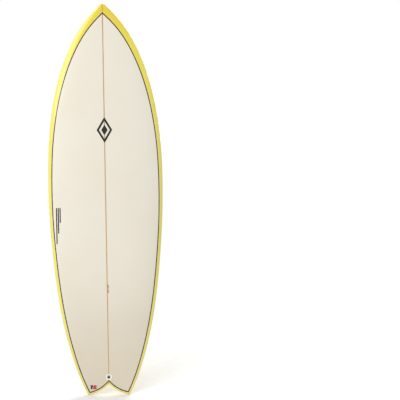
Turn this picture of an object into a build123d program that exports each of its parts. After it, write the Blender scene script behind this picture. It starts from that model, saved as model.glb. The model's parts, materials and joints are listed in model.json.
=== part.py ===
from build123d import *
import math
import os

# A 5'10" twin-fin fish surfboard without its fins, hand shaped from a foam blank with a wooden
# stringer and glassed with a tinted bottom whose lap is cut on the deck.
# Frame: +Z runs from the tail to the nose, the deck faces -Y, the bottom faces +Y and +X is to the
# right of someone who looks at the deck. The origin is midway between the two tail tips, at half
# the thickness of the tail. All lengths are in millimetres.

# Overall size
LENGTH = 1778.0
THICKNESS = 63.5
NOSE_THICKNESS = 11.0
TAIL_THICKNESS = 14.0
NOSE_FOIL = 1.8
TAIL_FOIL = 2.2

# Rocker of the bottom, measured from its lowest point at mid length
NOSE_ROCKER = 127.0
TAIL_ROCKER = 57.0
NOSE_ROCKER_POWER = 2.3
TAIL_ROCKER_POWER = 2.1

# Rail outline: (half width, distance forward of the tail tips), closed by the nose's round tip
TAIL_TIP_HALF = 97.0
RAIL_OUTLINE = [
    (90.5, -12.0),
    (TAIL_TIP_HALF, 0.0),
    (143.0, 100.0),
    (203.3, 304.8),
    (248.3, 600.0),
    (269.5, 975.0),
    (246.6, 1300.0),
    (204.5, 1475.0),
    (124.0, 1648.5),
    (88.5, 1698.0),
    (51.6, 1738.0),
]
TIP_RADIUS = 22.0
TIP_ANGLE = 42.0

# Swallow tail: each lobe's end is one arc from the crotch to the tip
SWALLOW_DEPTH = 51.0
SWALLOW_SAGITTA = 8.5

# Cross-section: superellipses that meet at the rail
RAIL_HEIGHT = 0.40
DECK_POWER = 2.8
DECK_ROUNDING = 2.0
BOTTOM_POWER = 7.0
TAIL_BOTTOM_POWER = 18.0
BOTTOM_ROUNDING = 2.2
NOSE_ROUNDING = 6.0
TIP_FLATTENING = 0.93
SECTION_STEPS = 8
SECTION_COUNT = 38
NOSE_BUNCHING = 2.3
TAIL_BUNCHING = 1.35
LAP_ARCS = 12

# Lay-up, from the outer surface inwards
GLASS = 0.9
PATCH = 0.5
DECAL = 0.35
STRINGER_WIDTH = 4.8

# Tinted lap on the deck: (distance forward of the tail tips, width from the outline)
LAP_WIDTHS = [(-12, 10.5), (200, 14.5), (800, 15.5), (1150, 19), (1500, 26), (1650, 29), (1778, 33)]
SWALLOW_LAP = 8.5
PINLINE_WIDTH = 4.8
PATCH_FRONT = 1080.0
PATCH_MARGIN = 30.0

# Fin plugs: one dogbone per side, with a tab slot and a grub screw in each lobe
PLUG_X = 157.0
PLUG_Z = 268.0
PLUG_PROUD = 0.2
PLUG_DEPTH = 15.5
LOBE_RADIUS = 17.0
LOBE_SPACING = 55.0
WAIST_HALF = 11.0
SLOT_WIDTH = 5.8
SLOT_DEPTH = 13.0
SLOT_ENDS = [(14.0, 35.5), (-38.5, -19.5)]
FIN_PATCH_LENGTH = 150.0
FIN_PATCH_WIDTH = 74.0

# Grub screws
SCREW_RADIUS = 2.5
SCREW_LENGTH = 7.0
SCREW_RECESS = 2.0
SCREW_TILT = 20.0
SCREW_AHEAD = 2.5
SCREW_THREAD_PITCH = 0.8
SCREW_THREAD_DEPTH = 0.35
BORE_CLEARANCE = 0.05
BORE_DEPTH = 11.5
BORE_MOUTH_RADIUS = 3.4
HEX_RADIUS = 1.45
HEX_DEPTH = 3.0

# Leash plug
LEASH_Z = 83.0
LEASH_RADIUS = 14.0
LEASH_HOLE_RADIUS = 7.0
LEASH_DEPTH = 18.0
LEASH_FLOOR = 2.0
LEASH_LIP = 1.2
PIN_RADIUS = 1.6
PIN_LENGTH = 21.0
PIN_DEPTH = 4.8

# Printed marks on the deck: centre (across, forward) and sizes
DECK_EMBLEM_Z = 1223.0
DECK_EMBLEM_FRAME = (36.0, 60.0)
DECK_EMBLEM_WINDOW = (25.0, 41.7)
DECK_EMBLEM_CORE = (15.0, 25.0)
RAIL_MARK_CENTRE = (-230.0, 782.0)
RAIL_STRIPES = (170.0, 120.0, 70.0)
RAIL_STRIPE_WIDTH = 5.5
RAIL_STRIPE_STEP = 8.5
STICKER_CENTRE = (-71.0, 37.0)
STICKER_SIZE = (27.0, 19.0)

# Printed marks on the bottom
ROSETTE_Z = 1180.0
ROSETTE_DISC_RADIUS = 17.0
PETAL_COUNT = 8
PETAL_LENGTH = 62.0
PETAL_HALF_WIDTH = 15.0
PETAL_CENTRE_RADIUS = 42.0
BAR_STACK_Z = 372.0
BAR_COUNT = 7
BAR_THICKNESS = 9.0
BAR_STACK_WIDTH = 54.0
BAR_STACK_HALF_HEIGHT = 50.0
DISC_Z = 84.0
DISC_RADII = (20.5, 16.5)

HALF = LENGTH / 2
FLAT_HALF = STRINGER_WIDTH / 2
FAR = 400.0
TAIL_CUT_HALF = 125.0
TAIL_CUT_BACK = -60.0
SLOPE_STEP = 2.0
SLOT_CORNER_SHARE = 0.3
BORE_OVERRUN = 5.0
LEASH_OVERRUN = 2.0
SCREW_CHAMFER = 0.5
SCREW_END_CHAMFER = 0.3
THREAD_START = 0.6


# ---- Shape of the hull ----------------------------------------------------------------------

def station(z):
    """Signed distance from mid length as a fraction of half the length."""
    return (z - HALF) / HALF


def rocker(z):
    """Lift of the bottom towards the deck."""
    s = station(z)
    if s > 0:
        return NOSE_ROCKER * s ** NOSE_ROCKER_POWER
    return TAIL_ROCKER * (-s) ** TAIL_ROCKER_POWER


def thickness(z):
    """Thickness at the centre line."""
    s = station(z)
    if s > 0:
        return NOSE_THICKNESS + (THICKNESS - NOSE_THICKNESS) * (1 - s ** NOSE_FOIL)
    return TAIL_THICKNESS + (THICKNESS - TAIL_THICKNESS) * (1 - (-s) ** TAIL_FOIL)


def bottom_y(z):
    """Y of the bottom at the centre line, with the tail tips centred on Y = 0."""
    return TAIL_ROCKER + TAIL_THICKNESS / 2 - rocker(z)


def rail_y(z):
    """Y of the widest point of the rail."""
    return bottom_y(z) - RAIL_HEIGHT * thickness(z)


def bottom_power(z):
    """The bottom is rounder forward and flat with a hard edge at the tail."""
    blend = max(0.0, min(1.0, (700.0 - z) / 500.0))
    return BOTTOM_POWER + (TAIL_BOTTOM_POWER - BOTTOM_POWER) * blend * blend * (3 - 2 * blend)


def rail_curve():
    """Half outline in the plane of the board: X across, Y of the sketch forward."""
    centre = LENGTH - TIP_RADIUS
    tip = []
    for angle in (TIP_ANGLE, TIP_ANGLE / 2, 0):
        turn = math.radians(angle)
        tip.append((TIP_RADIUS * math.sin(turn), centre + TIP_RADIUS * math.cos(turn)))
    turn = math.radians(TIP_ANGLE)
    joint = (-math.cos(turn), math.sin(turn))
    flank = Spline(*RAIL_OUTLINE, tip[0], tangents=[(0.5, 1.0), joint])
    return Wire([flank, ThreePointArc(*tip)])


RAIL = rail_curve()


def rail_point(u, inset):
    """Half width and station at parameter u of the outline, moved inwards by inset."""
    point = RAIL.position_at(u)
    tangent = RAIL.tangent_at(u)
    return point.X - inset * tangent.Y, point.Y + inset * tangent.X


def half_width(z):
    """Half width of the outline at a station."""
    low, high = 0.0, 1.0
    for _ in range(40):
        middle = (low + high) / 2
        if RAIL.position_at(middle).Y < z:
            low = middle
        else:
            high = middle
    return RAIL.position_at(low).X


def bottom_at(x, z):
    """Y of the bottom surface at a point away from the rail."""
    fraction = max(0.0, x - FLAT_HALF) / (half_width(z) - FLAT_HALF)
    drop = RAIL_HEIGHT * thickness(z)
    return rail_y(z) + drop * (1 - fraction ** bottom_power(z)) ** (1 / BOTTOM_ROUNDING)


def deck_at(x, z):
    """Y of the deck surface at a point away from the rail."""
    fraction = max(0.0, x - FLAT_HALF) / (half_width(z) - FLAT_HALF)
    rise = (1 - RAIL_HEIGHT) * thickness(z)
    return rail_y(z) - rise * (1 - fraction ** DECK_POWER) ** (1 / DECK_ROUNDING)


def section_points(width, z, inset):
    """Right side of a cross-section, from the stringer's edge below round the rail to above."""
    short = TIP_FLATTENING * max(0.0, 1 - (LENGTH - inset - z) / NOSE_ROUNDING)
    ease = math.sqrt(1 - short * short)
    below = (RAIL_HEIGHT * thickness(z) - inset) * ease
    above = ((1 - RAIL_HEIGHT) * thickness(z) - inset) * ease
    reach = width - FLAT_HALF
    points = []
    for k in range(SECTION_STEPS + 1):
        f = math.sin(math.pi / 2 * k / SECTION_STEPS)
        rise = (1 - f ** bottom_power(z)) ** (1 / BOTTOM_ROUNDING)
        points.append((FLAT_HALF + reach * f, rail_y(z) + below * rise, z))
    for k in range(SECTION_STEPS - 1, -1, -1):
        f = math.sin(math.pi / 2 * k / SECTION_STEPS)
        rise = (1 - f ** DECK_POWER) ** (1 / DECK_ROUNDING)
        points.append((FLAT_HALF + reach * f, rail_y(z) - above * rise, z))
    return points


def section_wire(width, z, inset):
    """Closed cross-section: a spline round each rail and a flat over the stringer's width."""
    right = section_points(width, z, inset)
    left = [(-x, y, level) for x, y, level in reversed(right)]
    steps = [k / (len(right) - 1) for k in range(len(right))]
    right_edge = Edge.make_spline(right, [(1, 0, 0), (-1, 0, 0)], parameters=steps)
    left_edge = Edge.make_spline(left, [(-1, 0, 0), (1, 0, 0)], parameters=steps)
    deck_edge = Edge.make_line(right[-1], left[0])
    bottom_edge = Edge.make_line(left[-1], right[0])
    return Wire([right_edge, deck_edge, left_edge, bottom_edge])


def hull(inset):
    """The whole board as one lofted solid, inset by a depth of lay-up, with its tail cut."""
    wires = []
    for k in range(SECTION_COUNT):
        u = 1 - (1 - (k / SECTION_COUNT) ** TAIL_BUNCHING) ** NOSE_BUNCHING
        width, z = rail_point(u, inset)
        if width > 3 * FLAT_HALF:
            wires.append(section_wire(width, z, inset))
    wires.append(section_wire(1.6 * FLAT_HALF, LENGTH - inset, inset))
    return Solid.make_loft(wires) - swallow(inset)


def swallow_arc_end(inset, x):
    """Station on the right lobe's arc at a distance from the centre line."""
    chord = math.hypot(TAIL_TIP_HALF, SWALLOW_DEPTH)
    radius = chord ** 2 / (8 * SWALLOW_SAGITTA) + SWALLOW_SAGITTA / 2
    reach = (radius - SWALLOW_SAGITTA) / chord
    centre_x = TAIL_TIP_HALF / 2 + SWALLOW_DEPTH * reach
    centre_z = SWALLOW_DEPTH / 2 + TAIL_TIP_HALF * reach
    return centre_z - math.sqrt((radius - inset) ** 2 - (x - centre_x) ** 2)


def swallow(inset):
    """Everything behind the two lobes."""
    start = (0, swallow_arc_end(inset, 0))
    middle = (TAIL_CUT_HALF / 2, swallow_arc_end(inset, TAIL_CUT_HALF / 2))
    end = (TAIL_CUT_HALF, swallow_arc_end(inset, TAIL_CUT_HALF))
    arc = ThreePointArc(start, middle, end)
    border = Polyline(end, (TAIL_CUT_HALF, TAIL_CUT_BACK), (0, TAIL_CUT_BACK), start)
    right = make_face(Wire([arc, *border.edges()]))
    return through(right) + through(mirror(right, Plane.YZ))


# ---- Cutting tools --------------------------------------------------------------------------

def through(face):
    """Prism across the whole thickness from a face drawn with sketch Y running to the nose."""
    plane = Plane(origin=(0, FAR, 0), x_dir=(1, 0, 0), z_dir=(0, -1, 0))
    return extrude(plane * face, 2 * FAR)


def deck_side():
    """All the space on the deck side of the board's middle surface."""
    count = 15
    line = []
    for k in range(count):
        z = -30 + (LENGTH + 60) * k / (count - 1)
        clamped = max(0.0, min(LENGTH, z))
        line.append((z, bottom_y(clamped) - 0.5 * thickness(clamped)))
    middle = Spline(*line)
    border = Polyline(line[-1], (line[-1][0], -FAR), (line[0][0], -FAR), line[0])
    face = make_face(Wire([middle, *border.edges()]))
    plane = Plane(origin=(FAR, 0, 0), x_dir=(0, 0, 1), z_dir=(-1, 0, 0))
    return extrude(plane * face, 2 * FAR)


def rails_inside(inset_at):
    """Face within the rails, inset by a width that depends on the station, as a chain of arcs."""
    points = []
    for k in range(2 * LAP_ARCS + 1):
        u = 1 - (1 - k / (2 * LAP_ARCS + 2)) ** NOSE_BUNCHING
        points.append(rail_point(u, inset_at(RAIL.position_at(u).Y)))
    points = [point for point in points if point[0] > 6]
    if len(points) % 2 == 0:
        points.pop()
    (x0, z0), (x1, z1) = points[-2], points[-1]
    apex = (0, z1 + x1 * (z1 - z0) / (x0 - x1))
    edges = []
    for side in (1, -1):
        line = [(side * x, z) for x, z in points]
        for k in range(0, len(line) - 2, 2):
            edges.append(ThreePointArc(*line[k:k + 3]))
        edges.append(Line(line[-1], apex))
    edges.append(Line(points[0], (-points[0][0], points[0][1])))
    return make_face(Wire(edges))


def lap_width(z):
    """Width of the tinted lap on the deck at a station."""
    for (z0, w0), (z1, w1) in zip(LAP_WIDTHS, LAP_WIDTHS[1:]):
        if z <= z1:
            return w0 + (w1 - w0) * (z - z0) / (z1 - z0)
    return LAP_WIDTHS[-1][1]


def deck_window(extra):
    """Prism over the deck inside the lap's cut edge, moved inwards by extra."""
    area = through(rails_inside(lambda z: lap_width(z) + extra))
    return (area - swallow(SWALLOW_LAP + extra)) & deck_side()


# ---- Structure and lay-up -------------------------------------------------------------------

def slab(half):
    """The space within a distance of the centre line."""
    return Box(2 * half, 2 * FAR, 2 * LENGTH + 2 * FAR)


def side_space(sign):
    """The space on one side of the stringer."""
    width = FAR
    middle = sign * (STRINGER_WIDTH / 2 + width / 2)
    return Pos(middle, 0, HALF) * Box(width, 2 * FAR, LENGTH + 2 * FAR)


def patch_prism():
    """Prism of the deck patch: the standing area behind the middle of the board."""
    back = Pos(0, 0, PATCH_FRONT - HALF) * Box(2 * FAR, 2 * FAR, LENGTH)
    return deck_window(PATCH_MARGIN) & back


def fin_patch_prism(sign):
    """Prism of the cloth patch that ties a fin plug to the bottom."""
    oval = Pos(sign * PLUG_X, PLUG_Z) * Ellipse(FIN_PATCH_WIDTH / 2, FIN_PATCH_LENGTH / 2)
    return through(oval)


# ---- Fin plugs ------------------------------------------------------------------------------

def plug_frame(sign):
    """Frame on a plug's face: X across the board, Y to the nose and Z out of the bottom."""
    inner, outer = bottom_at(PLUG_X - SLOPE_STEP, PLUG_Z), bottom_at(PLUG_X + SLOPE_STEP, PLUG_Z)
    back, front = bottom_at(PLUG_X, PLUG_Z - SLOPE_STEP), bottom_at(PLUG_X, PLUG_Z + SLOPE_STEP)
    slope_x = (outer - inner) / (2 * SLOPE_STEP)
    slope_z = (front - back) / (2 * SLOPE_STEP)
    normal = Vector(-sign * slope_x, 1, -slope_z).normalized()
    forward = (Vector(0, 0, 1) - normal * normal.Z).normalized()
    face = Vector(sign * PLUG_X, bottom_at(PLUG_X, PLUG_Z), PLUG_Z) + normal * PLUG_PROUD
    return Plane(origin=face, x_dir=forward.cross(normal), z_dir=normal)


def plug_outline():
    """Dogbone: two round lobes joined by a waist of two tangent arcs."""
    half = LOBE_SPACING / 2
    gap = LOBE_RADIUS - WAIST_HALF
    waist_radius = (WAIST_HALF ** 2 + half ** 2 - LOBE_RADIUS ** 2) / (2 * gap)
    waist_x = WAIST_HALF + waist_radius
    share = LOBE_RADIUS / (LOBE_RADIUS + waist_radius)
    outline = Rectangle(2 * waist_x * share, 2 * half * (1 - share))
    outline += Pos(0, half) * Circle(LOBE_RADIUS)
    outline += Pos(0, -half) * Circle(LOBE_RADIUS)
    outline -= Pos(waist_x, 0) * Circle(waist_radius)
    outline -= Pos(-waist_x, 0) * Circle(waist_radius)
    return outline


def plug_blank(sign):
    """A plug's outer shape, which is also the pocket routed for it."""
    return plug_frame(sign) * extrude(plug_outline(), -PLUG_DEPTH)


def screw_frame(sign, slot_front):
    """Frame at the mouth of a screw's bore, with Z out along the screw."""
    frame = plug_frame(sign)
    tilt = math.radians(SCREW_TILT)
    local = Plane(
        origin=(0, slot_front + SCREW_AHEAD, 0),
        x_dir=(1, 0, 0),
        z_dir=(0, math.sin(tilt), math.cos(tilt)),
    )
    origin = frame.from_local_coords(local.origin)
    axis = frame.from_local_coords(local.origin + local.z_dir) - origin
    return Plane(origin=origin, x_dir=frame.x_dir, z_dir=axis)


def bore(sign, slot_front):
    """Tapped bore with a flared mouth."""
    radius = SCREW_RADIUS + BORE_CLEARANCE
    flare = BORE_MOUTH_RADIUS - radius
    middle = (BORE_OVERRUN - BORE_DEPTH) / 2
    hole = Pos(0, 0, middle) * Cylinder(radius, BORE_DEPTH + BORE_OVERRUN)
    mouth = Pos(0, 0, -flare / 2) * Cone(radius, BORE_MOUTH_RADIUS, flare)
    rim = Pos(0, 0, BORE_OVERRUN / 2) * Cylinder(BORE_MOUTH_RADIUS, BORE_OVERRUN)
    return screw_frame(sign, slot_front) * (hole + mouth + rim)


def fin_plug(sign):
    """Dogbone plug with a blind slot and a screw bore in each lobe."""
    plug = plug_blank(sign)
    corner = SLOT_WIDTH * SLOT_CORNER_SHARE
    for back, front in SLOT_ENDS:
        slot = Pos(0, (back + front) / 2) * RectangleRounded(SLOT_WIDTH, front - back, corner)
        plug -= plug_frame(sign) * extrude(slot, SLOT_DEPTH, both=True)
        plug -= bore(sign, front)
    return plug


def grub_screw(sign, slot_front):
    """Set screw with thread crests as rings and a hexagon socket."""
    root = SCREW_RADIUS - SCREW_THREAD_DEPTH
    points = [(0, 0), (root - SCREW_CHAMFER, 0), (root, SCREW_CHAMFER)]
    turns = int((SCREW_LENGTH - 2 * THREAD_START) / SCREW_THREAD_PITCH)
    for k in range(turns):
        low = THREAD_START + k * SCREW_THREAD_PITCH
        points.append((root, low))
        points.append((SCREW_RADIUS, low + 0.35 * SCREW_THREAD_PITCH))
        points.append((SCREW_RADIUS, low + 0.5 * SCREW_THREAD_PITCH))
        points.append((root, low + 0.85 * SCREW_THREAD_PITCH))
    points.append((root, SCREW_LENGTH - SCREW_END_CHAMFER))
    points.append((root - SCREW_END_CHAMFER, SCREW_LENGTH))
    points.append((0, SCREW_LENGTH))
    profile = make_face(Polyline(*points, close=True))
    body = revolve(Plane.XZ * profile, Axis.Z)
    socket = Pos(0, 0, SCREW_LENGTH) * extrude(RegularPolygon(HEX_RADIUS, 6), HEX_DEPTH, both=True)
    place = Pos(0, 0, -SCREW_RECESS - SCREW_LENGTH)
    return screw_frame(sign, slot_front) * (place * (body - socket))


# ---- Leash plug -----------------------------------------------------------------------------

def leash_frame():
    """Frame on the deck at the leash plug: X across, Z out of the deck."""
    behind, ahead = deck_at(0, LEASH_Z - SLOPE_STEP), deck_at(0, LEASH_Z + SLOPE_STEP)
    slope = (ahead - behind) / (2 * SLOPE_STEP)
    normal = Vector(0, -1, slope).normalized()
    face = Vector(0, deck_at(0, LEASH_Z), LEASH_Z) + normal * PLUG_PROUD
    return Plane(origin=face, x_dir=(1, 0, 0), z_dir=normal)


def leash_blank():
    """The leash plug's outer shape, which is also its pocket."""
    return leash_frame() * (Pos(0, 0, -LEASH_DEPTH / 2) * Cylinder(LEASH_RADIUS, LEASH_DEPTH))


def leash_pin():
    """Stainless pin across the cup, which the leash string is tied to."""
    pin = Rot(0, 90, 0) * Cylinder(PIN_RADIUS, PIN_LENGTH)
    return leash_frame() * (Pos(0, 0, -PIN_DEPTH) * pin)


def leash_cup():
    """Moulded cup with a round well, a rounded floor and a dished lip."""
    well_depth = LEASH_DEPTH - LEASH_FLOOR
    radius = LEASH_HOLE_RADIUS
    straight = well_depth - radius
    middle = (LEASH_OVERRUN - straight) / 2
    well = Pos(0, 0, middle) * Cylinder(radius, straight + LEASH_OVERRUN)
    floor = Pos(0, 0, -straight) * Sphere(radius)
    lip = Pos(0, 0, -LEASH_LIP / 2) * Cone(radius, radius + LEASH_LIP, LEASH_LIP)
    return leash_blank() - leash_frame() * (well + floor + lip) - leash_pin()


# ---- Decals ---------------------------------------------------------------------------------

def lozenge(across, along):
    """Upright diamond from its half width and half height."""
    return make_face(Polyline((across, 0), (0, along), (-across, 0), (0, -along), close=True))


def deck_emblem():
    """Tall diamond frame round a small solid diamond."""
    mark = lozenge(*DECK_EMBLEM_FRAME) - lozenge(*DECK_EMBLEM_WINDOW) + lozenge(*DECK_EMBLEM_CORE)
    return Pos(0, DECK_EMBLEM_Z) * mark


def rail_mark():
    """Stripes of falling length that follow the left rail."""
    mark = Sketch()
    longest = RAIL_STRIPES[0]
    for k, length in enumerate(RAIL_STRIPES):
        stripe = SlotOverall(length, RAIL_STRIPE_WIDTH, rotation=90)
        mark += Pos(RAIL_STRIPE_STEP * k, (longest - length) / 2) * stripe
    return Pos(*RAIL_MARK_CENTRE) * mark


def tail_sticker():
    """Small rectangle in the left lobe."""
    return Pos(*STICKER_CENTRE) * Rectangle(*STICKER_SIZE)


def lens(length, half):
    """Pointed oval of two equal arcs, standing upright."""
    right = ThreePointArc((0, -length / 2), (half, 0), (0, length / 2))
    left = ThreePointArc((0, length / 2), (-half, 0), (0, -length / 2))
    return make_face(Wire([right, left]))


def bottom_emblem():
    """Rosette of lens-shaped petals round a disc."""
    mark = Circle(ROSETTE_DISC_RADIUS)
    petal = Pos(0, PETAL_CENTRE_RADIUS) * lens(PETAL_LENGTH, PETAL_HALF_WIDTH)
    for k in range(PETAL_COUNT):
        mark += Rot(0, 0, 360 * k / PETAL_COUNT) * petal
    return Pos(0, ROSETTE_Z) * mark


def bottom_mark():
    """Bars stacked into a pointed oval."""
    mark = Sketch()
    for k in range(BAR_COUNT):
        offset = (k - (BAR_COUNT - 1) / 2) / (BAR_COUNT / 2)
        width = BAR_STACK_WIDTH * math.sqrt(1 - offset * offset)
        mark += Pos(0, offset * BAR_STACK_HALF_HEIGHT) * SlotOverall(width, BAR_THICKNESS)
    return Pos(0, BAR_STACK_Z) * mark


def tail_disc():
    """Oval disc ahead of the crotch."""
    return Pos(0, DISC_Z) * Ellipse(*DISC_RADII)


# ---- Assembly -------------------------------------------------------------------------------

def build():
    """All nodes by name."""
    outer = hull(0)
    core = hull(GLASS)
    skin = outer - core
    under_skin = core - hull(GLASS + PATCH)
    decal_skin = outer - hull(DECAL)
    deck = deck_side()

    nodes = {}
    decals = {
        "deck_emblem": (deck_emblem(), True),
        "rail_mark": (rail_mark(), True),
        "tail_sticker": (tail_sticker(), True),
        "bottom_emblem": (bottom_emblem(), False),
        "bottom_mark": (bottom_mark(), False),
        "tail_disc": (tail_disc(), False),
    }
    for name, (face, on_deck) in decals.items():
        printed = decal_skin & through(face)
        nodes[name] = printed & deck if on_deck else printed - deck

    plugs = {"left": -1, "right": 1}
    lap_window = deck_window(0)
    clear_window = deck_window(PINLINE_WIDTH)
    bottom_laminate = skin - lap_window
    pinline = (skin & lap_window) - clear_window - leash_blank()
    deck_laminate = (skin & clear_window) - leash_blank()
    core -= leash_blank()
    deck_patch = (under_skin & patch_prism()) - leash_blank()
    core -= deck_patch

    for side, sign in plugs.items():
        pocket = plug_blank(sign)
        bottom_laminate -= pocket
        patch = (under_skin & fin_patch_prism(sign)) - deck - pocket
        core = core - pocket - patch
        nodes[f"fin_patch_{side}"] = patch
        nodes[f"fin_plug_{side}"] = fin_plug(sign)
        for place, (_, front) in zip(("front", "rear"), SLOT_ENDS):
            nodes[f"fin_screw_{side}_{place}"] = grub_screw(sign, front)

    for name, (_, on_deck) in decals.items():
        if on_deck:
            deck_laminate -= nodes[name]
        else:
            bottom_laminate -= nodes[name]

    nodes["stringer"] = core & slab(STRINGER_WIDTH / 2)
    nodes["foam_blank_left"] = core & side_space(-1)
    nodes["foam_blank_right"] = core & side_space(1)
    nodes["deck_patch"] = deck_patch
    nodes["bottom_laminate"] = bottom_laminate
    nodes["deck_laminate"] = deck_laminate
    nodes["pinline"] = pinline
    nodes["leash_plug_cup"] = leash_cup()
    nodes["leash_plug_pin"] = leash_pin()
    return nodes


def main():
    """Write one STEP file for each node and print what the record states."""
    os.makedirs("parts", exist_ok=True)
    for name, shape in build().items():
        export_step(Part() + shape, f"parts/{name}.step")
        print(name, len(shape.solids()), round(shape.volume / 1000, 3), "cm3")
    for sign in (-1, 1):
        frame = plug_frame(sign)
        print("plug face", sign, frame.origin, frame.z_dir)
        for _, front in SLOT_ENDS:
            screw = screw_frame(sign, front)
            print("screw axis", sign, screw.origin, screw.z_dir)
    print("leash face", leash_frame().origin, leash_frame().z_dir)


main()
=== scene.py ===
import json
import math

import bmesh
import bpy
import numpy as np
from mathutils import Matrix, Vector, geometry, kdtree


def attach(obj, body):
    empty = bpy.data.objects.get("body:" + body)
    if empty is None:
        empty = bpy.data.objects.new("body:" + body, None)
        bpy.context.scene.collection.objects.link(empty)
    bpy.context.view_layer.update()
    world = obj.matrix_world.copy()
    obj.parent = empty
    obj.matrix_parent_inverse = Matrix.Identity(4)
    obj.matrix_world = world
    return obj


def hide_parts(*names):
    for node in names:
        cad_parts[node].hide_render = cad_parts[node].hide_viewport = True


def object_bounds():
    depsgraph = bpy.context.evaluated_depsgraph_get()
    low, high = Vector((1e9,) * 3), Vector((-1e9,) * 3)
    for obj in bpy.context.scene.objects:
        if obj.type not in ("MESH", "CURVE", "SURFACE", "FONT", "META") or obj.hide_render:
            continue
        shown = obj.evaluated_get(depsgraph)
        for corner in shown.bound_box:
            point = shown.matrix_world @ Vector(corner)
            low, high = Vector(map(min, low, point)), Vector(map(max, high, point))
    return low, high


# A glassed fish surfboard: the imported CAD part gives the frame, and the laminates, pinline and
# prints are rebuilt here as thin closed shells on the same hull surface, fine enough for gloss.
# The hull is worked out in millimetres and turned into metres when a mesh is made.

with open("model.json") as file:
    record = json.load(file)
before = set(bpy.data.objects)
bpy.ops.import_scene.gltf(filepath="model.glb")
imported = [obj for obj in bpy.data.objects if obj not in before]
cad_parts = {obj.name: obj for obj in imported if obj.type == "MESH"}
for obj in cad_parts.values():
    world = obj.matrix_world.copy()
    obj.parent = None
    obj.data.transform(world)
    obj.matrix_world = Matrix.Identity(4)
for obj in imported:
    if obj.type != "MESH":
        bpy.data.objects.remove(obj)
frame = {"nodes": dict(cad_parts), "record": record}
cad_low, cad_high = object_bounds()
MM = 0.001

# ---- Hull, in millimetres: +Z to the nose, -Y out of the deck --------------------------------

LENGTH = 1778.0
HALF = LENGTH / 2
THICKNESS = 63.5
NOSE_THICKNESS = 11.0
TAIL_THICKNESS = 14.0
NOSE_FOIL = 1.8
TAIL_FOIL = 2.2
NOSE_ROCKER = 127.0
TAIL_ROCKER = 57.0
NOSE_ROCKER_POWER = 2.3
TAIL_ROCKER_POWER = 2.1
TAIL_TIP_HALF = 97.0
RAIL_OUTLINE = [
    (90.5, -12.0), (TAIL_TIP_HALF, 0.0), (143.0, 100.0), (203.3, 304.8), (248.3, 600.0),
    (269.5, 975.0), (246.6, 1300.0), (204.5, 1475.0), (124.0, 1648.5), (88.5, 1698.0),
    (51.6, 1738.0),
]
TIP_RADIUS = 22.0
TIP_ANGLE = math.radians(42.0)
SWALLOW_DEPTH = 51.0
SWALLOW_SAGITTA = 8.5
RAIL_HEIGHT = 0.40
DECK_POWER = 2.8
DECK_ROUNDING = 2.0
BOTTOM_POWER = 7.0
TAIL_BOTTOM_POWER = 18.0
SQUARE_RAIL_FRONT = 700.0
SQUARE_RAIL_BLEND = 500.0
BOTTOM_ROUNDING = 2.2
NOSE_ROUNDING = 6.0
FLAT_HALF = 2.4
GLASS = 0.9
PRINT = 0.35
# Forward position and width of the lap on the deck
LAP_WIDTHS = [(-12, 10.5), (200, 14.5), (800, 15.5), (1150, 19), (1500, 26), (1650, 29), (1778, 33)]
SWALLOW_LAP = 8.5
PINLINE_WIDTH = 4.8
EDGE_FILLET = 3.0

# Fin plugs and leash plug, whose openings the surface leaves free
PLUG_LOBE = 17.0
PLUG_HALF_SPACING = 27.5
PLUG_WAIST = 11.0
PLUG_PROUD = 0.2
LEASH_Z = 83.0
LEASH_RADIUS = 14.0

# Prints
DECK_EMBLEM_Z = 1223.0
DECK_EMBLEM_RINGS = ((36.0, 60.0), (25.0, 41.7), (15.0, 25.0))
RAIL_MARK_CENTRE = (-230.0, 782.0)
RAIL_STRIPE_LENGTHS = (170.0, 120.0, 70.0)
RAIL_STRIPE_WIDTH = 5.5
RAIL_STRIPE_STEP = 8.5
STICKER_CENTRE = (-71.0, 37.0)
STICKER_SIZE = (27.0, 19.0)
ROSETTE_Z = 1180.0
ROSETTE_DISC_RADIUS = 17.0
PETAL_COUNT = 8
PETAL_LENGTH = 62.0
PETAL_HALF_WIDTH = 15.0
PETAL_CENTRE_RADIUS = 42.0
BAR_STACK_Z = 372.0
BAR_COUNT = 7
BAR_THICKNESS = 9.0
BAR_STACK_WIDTH = 54.0
BAR_STACK_HALF_HEIGHT = 50.0
DISC_Z = 84.0
DISC_RADII = (20.5, 16.5)

# How finely the surface is divided: RIM is the strip next to the rail, in rows that turn with it,
# and GUIDES are the insets of the lines that the bottom's triangles follow beyond it
OUTLINE_STEP = 0.8
TIP_STEPS = 60
RIM = 6.0
RIM_ROWS = 10
RAIL_STEPS = 380
SWALLOW_STEPS = 26
LAP_ROWS = 4
GRID = 9.0
GRID_ROW = 0.866
GRID_CLEARANCE = 0.42
LINE_STEP = 4.0
LOZENGE_STEP = 6.0
STICKER_STEP = 5.0
LOBE_STEPS = 30
WAIST_STEPS = 10
GUIDES = ((8.5, 7.2), (12.0, 8.2), (17.0, 9.5), (24.0, 11.0), (34.0, 13.0))
TAIL_BUNCHING = (0.78, 0.008)
NOSE_BUNCHING = (0.76, 0.03)
SLOPE_STEP = 1.0
RIM_NORMALS = 4.5
NORMAL_BLEND = 3.0
MERGE_DISTANCE = 1e-6


def station(z):
    return (z - HALF) / HALF


def thickness(z):
    """Thickness at the centre line."""
    s = station(z)
    ahead = (THICKNESS - NOSE_THICKNESS) * np.maximum(s, 0) ** NOSE_FOIL
    behind = (THICKNESS - TAIL_THICKNESS) * np.maximum(-s, 0) ** TAIL_FOIL
    return THICKNESS - ahead - behind


def bottom_line(z):
    """Y of the bottom at the centre line."""
    s = station(z)
    ahead = NOSE_ROCKER * np.maximum(s, 0) ** NOSE_ROCKER_POWER
    behind = TAIL_ROCKER * np.maximum(-s, 0) ** TAIL_ROCKER_POWER
    return TAIL_ROCKER + TAIL_THICKNESS / 2 - ahead - behind


def rail_line(z):
    """Y of the widest point of the rail."""
    return bottom_line(z) - RAIL_HEIGHT * thickness(z)


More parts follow.
